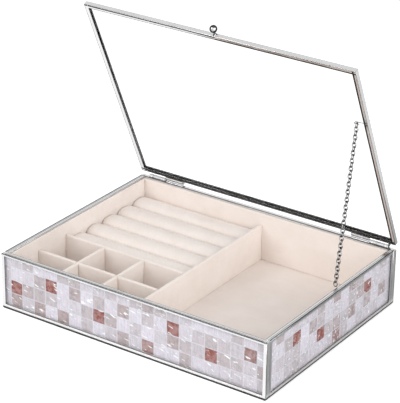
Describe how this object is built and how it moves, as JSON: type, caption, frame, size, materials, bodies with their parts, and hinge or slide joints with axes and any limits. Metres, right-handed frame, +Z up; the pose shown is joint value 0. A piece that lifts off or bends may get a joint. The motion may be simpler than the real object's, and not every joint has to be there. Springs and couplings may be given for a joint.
{
  "type": "glass jewelry box",
  "caption": "Shallow glass jewelry box with shell mosaic walls in metal came, a velvet lining with compartments and ring rolls, and a hinged clear lid held by a chain.",
  "frame": {"origin": "on the table under the middle of the box's footprint", "axes": "+Z up, the front wall faces -Y, +X to the box's right when seen from the front"},
  "size_m": [0.25, 0.1941, 0.2348],
  "materials": {
    "came": "bright solder over metal came",
    "polished_metal": "polished nickel",
    "clear_glass": "clear float glass",
    "shell": "polished mother-of-pearl shell",
    "board": "plain board",
    "velvet": "cream velvet",
    "felt": "black felt"
  },
  "bodies": {
    "box": {"base_felt": "felt", "base_came": "came", "base_board": "board", "front_came": "came", "front_glass": "clear_glass", "front_shell_tiles": "shell", "front_backing": "board", "back_came": "came", "back_glass": "clear_glass", "back_shell_tiles": "shell", "back_backing": "board", "left_came": "came", "left_glass": "clear_glass", "left_shell_tiles": "shell", "left_backing": "board", "right_came": "came", "right_glass": "clear_glass", "right_shell_tiles": "shell", "right_backing": "board", "liner_floor": "velvet", "liner_front": "velvet", "liner_back": "velvet", "liner_left": "velvet", "liner_right": "velvet", "main_divider": "velvet", "cross_divider": "velvet", "row_divider": "velvet", "column_divider_1": "velvet", "column_divider_2": "velvet", "ring_roll_base": "velvet", "ring_roll_1": "velvet", "ring_roll_2": "velvet", "ring_roll_3": "velvet", "ring_roll_4": "velvet", "ring_roll_5": "velvet", "left_hinge_box_knuckle": "polished_metal", "left_hinge_pin": "polished_metal", "right_hinge_box_knuckle": "polished_metal", "right_hinge_pin": "polished_metal", "box_chain_eye": "polished_metal"},
    "lid": {"lid_came": "came", "lid_glass": "clear_glass", "lid_knob": "polished_metal", "left_hinge_lid_knuckle": "polished_metal", "right_hinge_lid_knuckle": "polished_metal", "lid_chain_eye": "polished_metal"},
    "chain_7": {"chain_7": "polished_metal"},
    "chain_6": {"chain_6": "polished_metal"},
    "chain_5": {"chain_5": "polished_metal"},
    "chain_4": {"chain_4": "polished_metal"},
    "chain_3": {"chain_3": "polished_metal"},
    "chain_2": {"chain_2": "polished_metal"},
    "chain_1": {"chain_1": "polished_metal"}
  },
  "joints": [
    {"name": "lid_hinge", "type": "hinge", "parent": "box", "child": "lid", "pos_m": [0, 0.0965, 0.0505], "axis": [1, 0, 0], "range_deg": [0, 65.5]},
    {"name": "chain_pivot_7", "type": "hinge", "parent": "lid", "child": "chain_7", "pos_m": [0.11668, 0.03556, 0.17493], "axis": [1, 0, 0], "range_deg": [-146.9, 0]},
    {"name": "chain_pivot_6", "type": "hinge", "parent": "chain_7", "child": "chain_6", "pos_m": [0.11668, 0.03255, 0.1566], "axis": [1, 0, 0], "range_deg": [0, 67.44]},
    {"name": "chain_pivot_5", "type": "hinge", "parent": "chain_6", "child": "chain_5", "pos_m": [0.11668, 0.02954, 0.13827], "axis": [1, 0, 0], "range_deg": [0, 88.2]},
    {"name": "chain_pivot_4", "type": "hinge", "parent": "chain_5", "child": "chain_4", "pos_m": [0.11668, 0.02653, 0.11993], "axis": [1, 0, 0], "range_deg": [0, 20.42]},
    {"name": "chain_pivot_3", "type": "hinge", "parent": "chain_4", "child": "chain_3", "pos_m": [0.11668, 0.02353, 0.1016], "axis": [1, 0, 0], "range_deg": [0, 15.92]},
    {"name": "chain_pivot_2", "type": "hinge", "parent": "chain_3", "child": "chain_2", "pos_m": [0.11668, 0.02052, 0.08327], "axis": [1, 0, 0], "range_deg": [0, 17.32]},
    {"name": "chain_pivot_1", "type": "hinge", "parent": "chain_2", "child": "chain_1", "pos_m": [0.11668, 0.01751, 0.06493], "axis": [1, 0, 0], "range_deg": [0, 19.12]}
  ],
  "couplings": [
    {"joint": "chain_pivot_7", "follows": "lid_hinge", "ratio": -2.2424},
    {"joint": "chain_pivot_6", "follows": "lid_hinge", "ratio": 1.0293},
    {"joint": "chain_pivot_5", "follows": "lid_hinge", "ratio": 1.3462},
    {"joint": "chain_pivot_4", "follows": "lid_hinge", "ratio": 0.31147},
    {"joint": "chain_pivot_3", "follows": "lid_hinge", "ratio": 0.24275},
    {"joint": "chain_pivot_2", "follows": "lid_hinge", "ratio": 0.26412},
    {"joint": "chain_pivot_1", "follows": "lid_hinge", "ratio": 0.2916}
  ]
}
